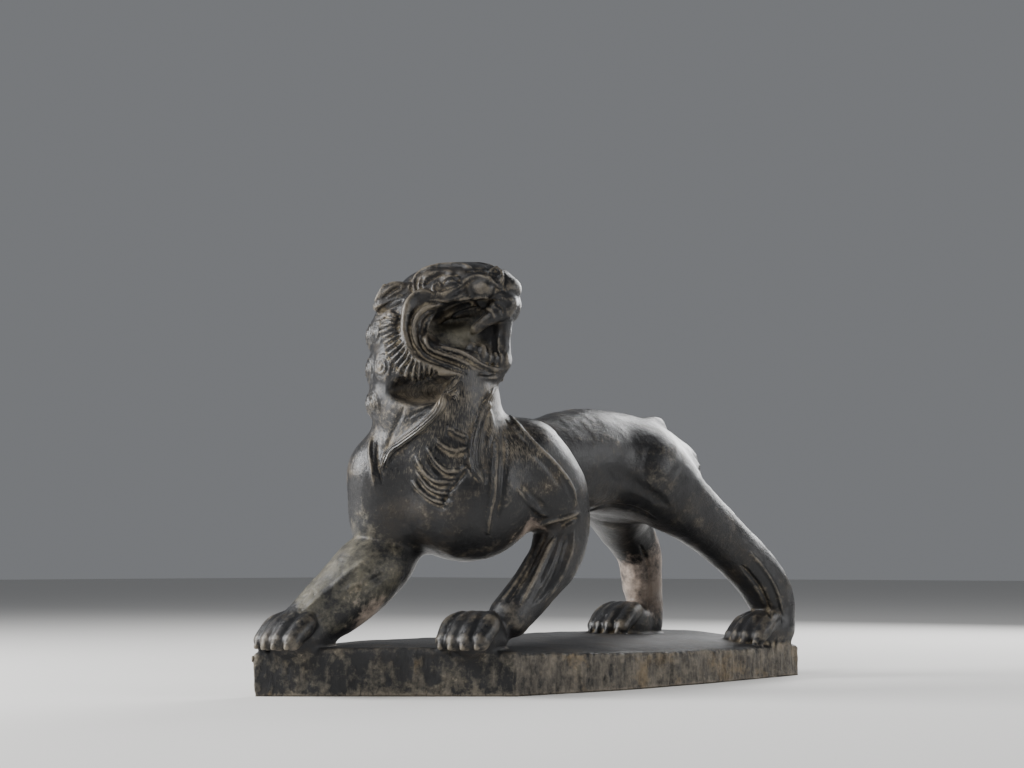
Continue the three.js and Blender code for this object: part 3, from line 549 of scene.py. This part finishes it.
# Ruff behind the jaw: a raised crescent, cut into short locks that lie side by side
ruff = {
    "middle": [(391, 314), (391, 328), (394, 342), (399, 354), (407, 364), (418, 371), (430, 373)],
    "outer": [(383, 314), (382, 328), (385, 344), (390, 359), (398, 371), (410, 381), (421, 382), (440, 373)],
    "inner": [(402, 312), (401, 328), (403, 339), (409, 351), (417, 361), (425, 366), (434, 369), (441, 371)],
    "locks": 17, "halfWidth": 7.5, "height": 4.5, "grooveHalfWidth": 1.1, "grooveDepth": 2.4,
}
middle = lineSeen(ruff["middle"])
outer, inner = curveThrough(ruff["outer"], 12), curveThrough(ruff["inner"], 12)
for line in (middle, acrossTheHead(middle)):
    strokes.append((line, ruff["halfWidth"], -ruff["height"], 4))


def shareOf(curve, share):
    lengths = np.concatenate(([0], np.cumsum(np.linalg.norm(np.diff(curve, axis=0), axis=1))))
    return [np.interp(share * lengths[-1], lengths, curve[:, i]) for i in range(2)]


for lock in range(ruff["locks"]):
    share = 0.04 + 0.9 * lock / (ruff["locks"] - 1)
    start, end = np.array(shareOf(inner, share)), np.array(shareOf(outer, share))
    bend = (start + end) / 2 + (0.6, 1.2)
    near = lineSeen([start, bend, end])
    for line in (near, acrossTheHead(near)):
        strokes.append((line, ruff["grooveHalfWidth"], ruff["grooveDepth"], 2, 0.7))

# Breast, shoulders and legs: strands of the mane, ribs of the throat, ridges, folds and sinews
bodyLines = [
    ([(494, 432), (496, 452), (495, 475), (494, 498), (490, 514), (488, 533)], 2.2, -2.2),
    ([(503, 430), (505, 452), (504, 475), (502, 498), (498, 520)], 2.6, 1.4),
    ([(510, 416), (524, 433), (541, 450), (557, 466), (570, 484), (577, 505)], 2.2, -2.0),
    ([(505, 420), (519, 437), (535, 454), (551, 471), (562, 488)], 2.6, 0.8),
    ([(372, 437), (370, 452), (372, 468), (375, 487)], 1.9, -1.6),
    ([(378, 440), (377, 455), (379, 470), (382, 484)], 1.6, 1.2),
    ([(535, 525), (550, 521), (566, 517), (580, 512)], 2.2, -1.8),
    ([(517, 489), (527, 501), (537, 510), (548, 516)], 2.4, -1.2),
    ([(522, 484), (534, 497), (545, 508)], 2.6, 0.9),
    ([(560, 528), (570, 521), (579, 518)], 2.0, 1.4),
    ([(556, 536), (546, 556), (534, 580), (520, 606)], 2.6, -1.8),
    ([(566, 534), (560, 556), (549, 582), (534, 604)], 3.0, 1.4),
    ([(574, 532), (571, 552), (562, 574), (546, 600)], 2.6, -1.2),
    ([(546, 534), (535, 556), (523, 578), (508, 602)], 2.6, 1.2),
    ([(536, 545), (526, 566), (513, 588), (500, 604)], 2.2, -0.9),
    ([(384, 574), (366, 585), (342, 600), (318, 617)], 3.4, 1.2),
    ([(372, 556), (350, 573), (326, 592), (304, 610)], 3.0, -1.2),
    ([(350, 602), (347, 593), (351, 586), (359, 583), (365, 588)], 2.0, -0.9),
    ([(356, 596), (359, 589), (363, 594), (358, 600)], 2.0, 1.3),
    ([(742, 566), (756, 582), (766, 600), (770, 618)], 2.2, 1.8),
    ([(750, 552), (766, 572), (778, 594), (783, 616)], 2.0, -1.4),
    ([(640, 545), (648, 565), (650, 588), (647, 610)], 2.0, 1.4),
    ([(468, 468), (459, 480), (450, 491), (441, 507)], 1.6, 1.2),
    ([(462, 470), (466, 468), (470, 472), (472, 477)], 2.4, -1.6),
    ([(482, 403), (489, 412), (492, 426), (488, 445)], 3.2, -1.2),
    ([(446, 397), (436, 404), (421, 411), (406, 418)], 1.4, 0.8),
    ([(404, 408), (396, 425), (389, 442), (386, 458)], 2.4, 0.9),
    ([(690, 446), (704, 470), (716, 494)], 5.0, 1.4),
    ([(610, 470), (640, 486), (668, 506)], 6.0, 1.2),
    ([(586, 512), (606, 506), (632, 508), (656, 520)], 3.0, 1.2),
]
strokes += [(lineSeen(spots), halfWidth, depth) for spots, halfWidth, depth in bodyLines]
ribs = {
    "places": (((447, 426), (455, 432), (467, 437)), ((435, 438), (447, 448), (458, 450), (467, 447)),
               ((427, 446), (434, 460), (447, 471), (463, 470)),
               ((416, 457), (423, 471), (435, 481), (456, 481)),
               ((416, 470), (426, 485), (438, 492), (452, 494)),
               ((412, 481), (422, 492), (434, 500), (447, 503))),
    "halfWidth": 2.0, "height": 1.5, "grooveDown": 6, "grooveHalfWidth": 2.8, "grooveDepth": 1.3,
}
for rib in ribs["places"]:
    strokes.append((lineSeen(rib), ribs["halfWidth"], -ribs["height"]))
    beneath = [(x, y + ribs["grooveDown"]) for x, y in rib]
    strokes.append((lineSeen(beneath), ribs["grooveHalfWidth"], ribs["grooveDepth"]))
strands = {
    "right": [(459, 377), (448, 393), (437, 411), (420, 428), (403, 441), (390, 452), (381, 468)],
    "left": [(496, 387), (486, 403), (479, 425), (475, 448), (476, 466), (483, 482)],
    "tool": (3.6, -2.6, 4, 0.35, 1.0),  # half width, depth, squareness, bluntness and hair
}
for name in ("right", "left"):
    strokes.append((lineSeen(strands[name]), *strands["tool"]))
for line, *tool in strokes:
    work(line, *tool)
print("carved", len(strokes), "strokes on", len(points), "points")

# Mane: rows of round curls down the nape, each with a spiral cut into it
curls = {
    "inRow": (4, 4, 5), "nearTurn": 44, "stepTurn": -32, "top": 177, "rowStep": 20,
    "radius": 10.5, "height": 2.6, "turns": 2.6, "innerShare": 0.12, "outerShare": 0.7,
    "cutHalfWidth": 0.95, "cutDepth": 1.0, "lookFrom": 95,
}
neckCurve = curveThrough([place(station[:3]) for station in body["neck"]], 14)


def curl(spot):
    hit = onSkin(spot)
    centre, out = np.array(hit[:3]), np.array(hit[3:])
    dot = np.array([hit, hit])
    dot[1, 0] += 1e-3
    work(dot, curls["radius"], -curls["height"], 3, 1.0)
    aside = unit(np.cross(out, (0, 0, 1)))
    up = np.cross(aside, out)
    spiral = []
    for step in np.linspace(0, 1, 30):
        angle = step * curls["turns"] * 2 * math.pi
        reach = (curls["innerShare"] + curls["outerShare"] * step) * curls["radius"]
        spiral.append(onSkin(centre + (aside * math.cos(angle) + up * math.sin(angle)) * reach))
    work(np.array(spiral), curls["cutHalfWidth"], curls["cutDepth"], 2, 0.8)


for row, inRow in enumerate(curls["inRow"]):
    level = plinth["height"] + curls["top"] - row * curls["rowStep"]
    core = neckCurve[np.argmin(np.abs(neckCurve[:, 2] - level))]
    for i in range(inRow):
        angle = math.radians(curls["nearTurn"] + (i - (row % 2) / 2) * curls["stepTurn"])
        back = -headForward
        out = np.array((back[0] * math.cos(angle) - back[1] * math.sin(angle),
                        back[0] * math.sin(angle) + back[1] * math.cos(angle), 0.0))
        start = np.array((core[0], core[1], level)) + out * curls["lookFrom"]
        hit = tree.ray_cast(Vector(start), Vector(-out))[0]
        if hit is not None:
            curl(hit)
points = points + normals * push[:, None]

# Old knocks and the unevenness of hand work over the whole figure
handWork = {
    "lumps": ((22.0, 0.55), (9.0, 0.3), (4.0, 0.12)), "plinthLumps": ((3.2, 0.3), (1.8, 0.15)),
    "strokes": ((5.0, 1.5), (2.4, 0.9)), "strokeShrink": 0.3,  # a tool stroke is longer upwards
    "standingBelow": 0.6,
}
rough = sum(height * lumps(*points.T, size) for size, height in handWork["lumps"])
onPlinth = np.clip((plinth["height"] - 4 - points[:, 2]) / 3, 0, 1)
onPlinth *= np.clip(3 - 4 * np.abs(normals[:, 2]), 0, 1)
rough += onPlinth * sum(height * lumps(*points.T, size) for size, height in handWork["plinthLumps"])
upright = points * (1, 1, handWork["strokeShrink"])
hewn = sum(height * lumps(*upright.T, size) for size, height in handWork["strokes"])
rough += onPlinth * np.clip(5 * (np.abs(normals[:, 1]) - 0.68), 0.3, 1) * hewn
standing = points[:, 2] < handWork["standingBelow"]
points += normals * np.where(standing, 0, rough)[:, None]

# The middle of the block goes over the origin, and the camera keeps its place beside it
middle = (points.max(0) + points.min(0)) / 2 * (1, 1, 0)
points -= middle
eye.location = Vector(eyePlace - middle) * 0.001

# The visual stone keeps within the solid's box
low, high = [np.array(corner) * 1000 for corner in cadBox]
points = np.clip(points, low + 0.02, high - 0.02)
points[:, 2] = np.where(standing, low[2] + 0.01, points[:, 2])


# Mesh of the lion, in metres, thinned to the most faces that a piece may have
def meshOf(name, points, quads):
    mesh = bpy.data.meshes.new(name)
    mesh.vertices.add(len(points))
    mesh.vertices.foreach_set("co", (points * 0.001).astype(np.float32).ravel())
    mesh.loops.add(quads.size)
    mesh.loops.foreach_set("vertex_index", quads.astype(np.int32).ravel())
    mesh.polygons.add(len(quads))
    mesh.polygons.foreach_set("loop_start", np.arange(0, quads.size, 4, dtype=np.int32))
    mesh.update(calc_edges=True)
    for label, values in (("strandAcross", strandAcross), ("strandMask", strandMask)):
        mesh.attributes.new(label, "FLOAT", "POINT").data.foreach_set("value", values.astype(np.float32))
    return mesh


lion = bpy.data.objects.new("carved_lion", meshOf("carved_lion", points, quads))
bpy.context.collection.objects.link(lion)
thin = lion.modifiers.new("thin", "DECIMATE")
thin.ratio = min(1.0, block["mostFaces"] / (2 * len(quads)))
evaluated = lion.evaluated_get(bpy.context.evaluated_depsgraph_get())
thinned = bpy.data.meshes.new_from_object(evaluated)
lion.modifiers.clear()
lion.data = thinned
lion.data.shade_smooth()
print("lion has", len(thinned.polygons), "faces")

# What the finish follows: hollows that hold dirt, edges that are rubbed and given a painted highlight,
# crusted places, and painted light inside the mouth
finish = {
    # the last crust spot is painted light: the crust colour lightens the shaded inside of the mouth
    "crust": (((-126, 42, 66), 27), ((-150, 50, 46), 15), ((118, 30, 32), 17), ((-94, -8, 205), 13)),
    "pink": (((136, 28, 80), 28), ((130, 20, 52), 18), ((-128, 34, 46), 14), ((-60, -34, 92), 9)),
    "dusty": (((-92, -10, 158), 30), ((-104, 20, 150), 30), ((-70, -26, 130), 22)),
}
# Curvature: what is flat beside an edge's length, the least that shows, and rounds of evening out
curvature = {"flat": 0.3, "least": 0.03, "mostRubbedAndHighlight": 0.25, "rounds": 14}
count = len(thinned.vertices)
spots = np.zeros(count * 3, np.float32)
thinned.vertices.foreach_get("co", spots)
spots = spots.reshape(-1, 3) * 1000
ways = np.zeros(count * 3, np.float32)
thinned.vertices.foreach_get("normal", ways)
ways = ways.reshape(-1, 3)
edges = np.zeros(len(thinned.edges) * 2, np.int32)
thinned.edges.foreach_get("vertices", edges)
edges = edges.reshape(-1, 2)
degree = np.bincount(edges.ravel(), minlength=count).astype(float)


def averaged(values):
    total = np.bincount(edges[:, 0], weights=values[edges[:, 1]], minlength=count)
    total += np.bincount(edges[:, 1], weights=values[edges[:, 0]], minlength=count)
    return total / np.maximum(degree, 1)


around = np.stack([averaged(spots[:, i]) for i in range(3)], axis=1)
reach = averaged(np.linalg.norm(around - spots, axis=1)) + curvature["flat"]
hollow = np.einsum("ij,ij->i", around - spots, ways) / reach
fine = averaged(hollow)
fine = np.sign(fine) * np.maximum(np.abs(fine) - curvature["least"], 0)
fine = np.maximum(fine, -curvature["mostRubbedAndHighlight"])
wide = hollow
for _ in range(curvature["rounds"]):
    wide = averaged(wide)
upright = np.clip((plinth["height"] - 3 - spots[:, 2]) / 4, 0, 1)
upright *= np.clip(1.6 - 2 * np.abs(ways[:, 2]), 0, 1)
upright *= np.clip(3 * (np.abs(ways[:, 1]) - 0.5), 0.35, 1)
layers = {"hollow": fine, "shelter": wide, "side": upright,
          "base": np.clip((plinth["height"] + 2 - spots[:, 2]) / 2, 0, 1)}
for label, places in finish.items():
    away = [np.linalg.norm(spots - centre, axis=1) / size for centre, size in places]
    layers[label] = sum(np.exp(-far ** 2) for far in away)
for label, values in layers.items():
    layer = thinned.attributes.new(label, "FLOAT", "POINT")
    layer.data.foreach_set("value", np.clip(values, -1, 1).astype(np.float32))


class Term:  # a socket that can be added, multiplied and mixed
    def __init__(self, tree, socket):
        self.tree, self.socket = tree, socket

    def make(self, kind, settings=None, sockets=None, out=0):
        node = self.tree.nodes.new(kind)
        for name, value in (settings or {}).items():
            if name == "stops":
                while len(node.color_ramp.elements) < len(value):
                    node.color_ramp.elements.new(0.5)
                for stop, (position, shade) in zip(node.color_ramp.elements, value):
                    stop.position = position
                    stop.color = (shade, shade, shade, 1) if isinstance(shade, float) else (*shade, 1)
            else:
                setattr(node, name, value)
        for name, value in (sockets or {}).items():
            if isinstance(value, Term):
                self.tree.links.new(value.socket, node.inputs[name])
            else:
                node.inputs[name].default_value = value
        return Term(self.tree, node.outputs[out])

    def maths(self, operation, first, second):
        return self.make("ShaderNodeMath", {"operation": operation}, {0: first, 1: second})

    def __add__(self, other):
        return self.maths("ADD", self, other)

    def __sub__(self, other):
        return self.maths("SUBTRACT", self, other)

    def __rsub__(self, other):
        return self.maths("SUBTRACT", other, self)

    def __mul__(self, other):
        return self.maths("MULTIPLY", self, other)

    __radd__ = __add__
    __rmul__ = __mul__

    def clamped(self):
        return self.make("ShaderNodeClamp", None, {"Value": self})

    def ramp(self, *stops):
        return self.make("ShaderNodeValToRGB", {"stops": stops}, {"Fac": self})


# Stone: near-black with a worn satin polish, buff earth in the cuts, wear and painted highlight on raised
# edges, painted light in the mouth and a rougher, hewn plinth
finishes = {
    "dark": ((0.2, (0.006, 0.006, 0.007)), (0.5, (0.013, 0.013, 0.014)), (0.8, (0.03, 0.031, 0.033))),
    "brown": (0.045, 0.034, 0.023), "earth": (0.14, 0.11, 0.072), "buff": (0.38, 0.33, 0.235),
    "crust": (0.24, 0.22, 0.16), "hewn": (0.3, 0.262, 0.21), "ochre": (0.3, 0.21, 0.1),
    "pink": (0.5, 0.4, 0.33), "rubbedAndHighlight": (0.24, 0.205, 0.155), "hairPitch": 1.35,
}
material = bpy.data.materials.new("dark_stone")
material.use_nodes = True
nodes = material.node_tree
nodes.nodes.clear()
start = Term(nodes, None)
coords = start.make("ShaderNodeTexCoord", out="Object")


def noise(scale, detail=6.0, roughness=0.6, stretch=None):
    vector = coords
    if stretch:
        vector = start.make("ShaderNodeMapping", None, {"Vector": coords, "Scale": stretch})
    return start.make("ShaderNodeTexNoise", None,
                      {"Vector": vector, "Scale": scale, "Detail": detail, "Roughness": roughness})


def layerOf(name):
    return start.make("ShaderNodeAttribute", {"attribute_name": name}, out="Fac")


def mixed(factor, under, over):
    return start.make("ShaderNodeMix", {"data_type": "RGBA"}, {0: factor, 6: under, 7: over}, out=2)


def shade(name):
    return (*finishes[name], 1)


def between(value, low, high):
    return value.ramp((low, 0.0), (high, 1.0))


mottle = noise(30, 10, 0.62)
patch = noise(75, 10, 0.72)
speck = noise(380, 6, 0.7)
grain = noise(1700, 3, 0.6)
scratch = noise(1.0, 3, 0.55, (2600, 500, 300))
hewn = noise(1.0, 6, 0.65, (330, 330, 75))
side = layerOf("side")
cavity = layerOf("hollow")
shelter = layerOf("shelter")
earthThere = between(cavity * 2.0 + shelter * 1.2 + (patch - 0.5) * 0.9 + (speck - 0.5) * 0.6, 0.15, 0.6)
buffThere = between(cavity * 1.9 + shelter * 0.3 + (patch - 0.5) * 2.0 + (speck - 0.5) * 1.4, 0.36, 1.0)
# Rubbed: raised, exposed places are lightened, part wear and part painted highlight
rubbedAndHighlightThere = between(cavity * -2.2 + shelter * -1.0 + (speck - 0.5) * 0.9 + (patch - 0.5) * 1.2, 0.17, 0.8)
brownThere = between((patch - 0.5) * 2.2 + (mottle - 0.5) * 2.0 + 0.3, 0.3, 0.9)
# Crust on the legs, paws and plinth sides, and painted light in the shaded mouth
crustAndMouthLightThere = between(layerOf("crust") * 0.9 + side * 0.62 + (patch - 0.5) * 1.9 + (speck - 0.5) * 0.8
                     + side * (hewn - 0.5) * 1.0, 0.24, 0.95)
ochreThere = between(side * 0.42 + (mottle - 0.5) * 2.6 + (speck - 0.5) * 0.5, 0.52, 0.95)
pinkThere = between(layerOf("pink") * 0.9 + (patch - 0.5) * 2.2 + (speck - 0.5) * 0.6, 0.34, 1.0)
scratched = between((scratch - 0.5) * 1.2 + (patch - 0.5) * 0.9 + layerOf("dusty") * 0.3, 0.17, 0.5)
colour = (mottle * 0.5 + speck * 0.3 + grain * 0.2).ramp(*finishes["dark"])
colour = mixed(brownThere * 0.65, colour, shade("brown"))
colour = mixed(scratched * (layerOf("dusty") * 0.5 + 0.25), colour, shade("rubbedAndHighlight"))
# Raised, exposed edges take the rubbed colour: part wear, part painted highlight
colour = mixed(rubbedAndHighlightThere * 0.65, colour, shade("rubbedAndHighlight"))
colour = mixed(earthThere * 0.65, colour, shade("earth"))
colour = mixed(buffThere * 0.62, colour, shade("buff"))
# Crust colour on the legs, paws and plinth sides, also painted light inside the shaded mouth
colour = mixed(crustAndMouthLightThere * 0.62, colour, mixed(side, shade("crust"), shade("hewn")))
colour = mixed(ochreThere * 0.5 * side, colour, shade("ochre"))
colour = mixed(pinkThere * 0.85, colour, shade("pink"))
dull = (earthThere * 0.35 + buffThere * 0.3 + crustAndMouthLightThere * 0.4 + brownThere * 0.15 + side * 0.3).clamped()
roughness = 0.33 + (mottle - 0.5) * 0.25 + (speck - 0.5) * 0.25 + scratched * 0.12 + dull * 0.42 \
    + layerOf("base") * 0.22
hairs = start.make("ShaderNodeMath", {"operation": "SINE"},
                   {0: layerOf("strandAcross") * (2 * math.pi / finishes["hairPitch"])})
relief = (mottle * 0.8 + patch * 1.0 + speck * (0.45 + dull * 0.6) + grain * 0.16 + scratch * 0.1
          + side * hewn * 3.2 + hairs * layerOf("strandMask") * 0.45)
bump = start.make("ShaderNodeBump", None, {"Strength": 0.6, "Distance": 0.001, "Height": relief})
surface = start.make("ShaderNodeBsdfPrincipled", None, {
    "Base Color": colour, "Roughness": roughness.clamped(), "Normal": bump, "IOR": 1.5,
    "Specular IOR Level": 0.38})
output = nodes.nodes.new("ShaderNodeOutputMaterial")
nodes.links.new(surface.socket, output.inputs["Surface"])

thinned.materials.clear()
thinned.materials.append(material)
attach(lion, "root")
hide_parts("stone_lion")
print("stone finished")

# Studio: a plain pale floor and large soft lights
studio = {
    "floor": (0.7, 0.69, 0.67), "floorSize": 14, "floorRoughness": 0.85,
    "sky": (0.92, 0.95, 1.0), "world": 0.2, "aim": (0, 0, 0.1),
    "lights": (("key", (-0.75, 0.8, 0.55), 0.55, 26.0), ("back", (0.95, 0.1, 0.6), 0.6, 12.0),
               ("fill", (0.5, -1.2, 0.5), 0.5, 8.0), ("front", (-1.2, -0.1, 0.9), 0.4, 8.0)),
}
bpy.ops.mesh.primitive_plane_add(size=studio["floorSize"])
floor = bpy.context.object
floor.name = "studio_floor"
paint = bpy.data.materials.new("floor_paint")
paint.use_nodes = True
painted = paint.node_tree.nodes["Principled BSDF"].inputs
painted["Base Color"].default_value = (*studio["floor"], 1)
painted["Roughness"].default_value = studio["floorRoughness"]
floor.data.materials.append(paint)
world = bpy.data.worlds.new("studio")
world.use_nodes = True
world.node_tree.nodes["Background"].inputs[0].default_value = (*studio["sky"], 1)
world.node_tree.nodes["Background"].inputs[1].default_value = studio["world"]
bpy.context.scene.world = world
for name, spot, size, power in studio["lights"]:
    lamp = bpy.data.lights.new(name, "AREA")
    lamp.size, lamp.energy = size, power
    holder = bpy.data.objects.new(name, lamp)
    holder.location = spot
    holder.rotation_euler = (Vector(studio["aim"]) - Vector(spot)).to_track_quat("-Z", "Y").to_euler()
    bpy.context.collection.objects.link(holder)
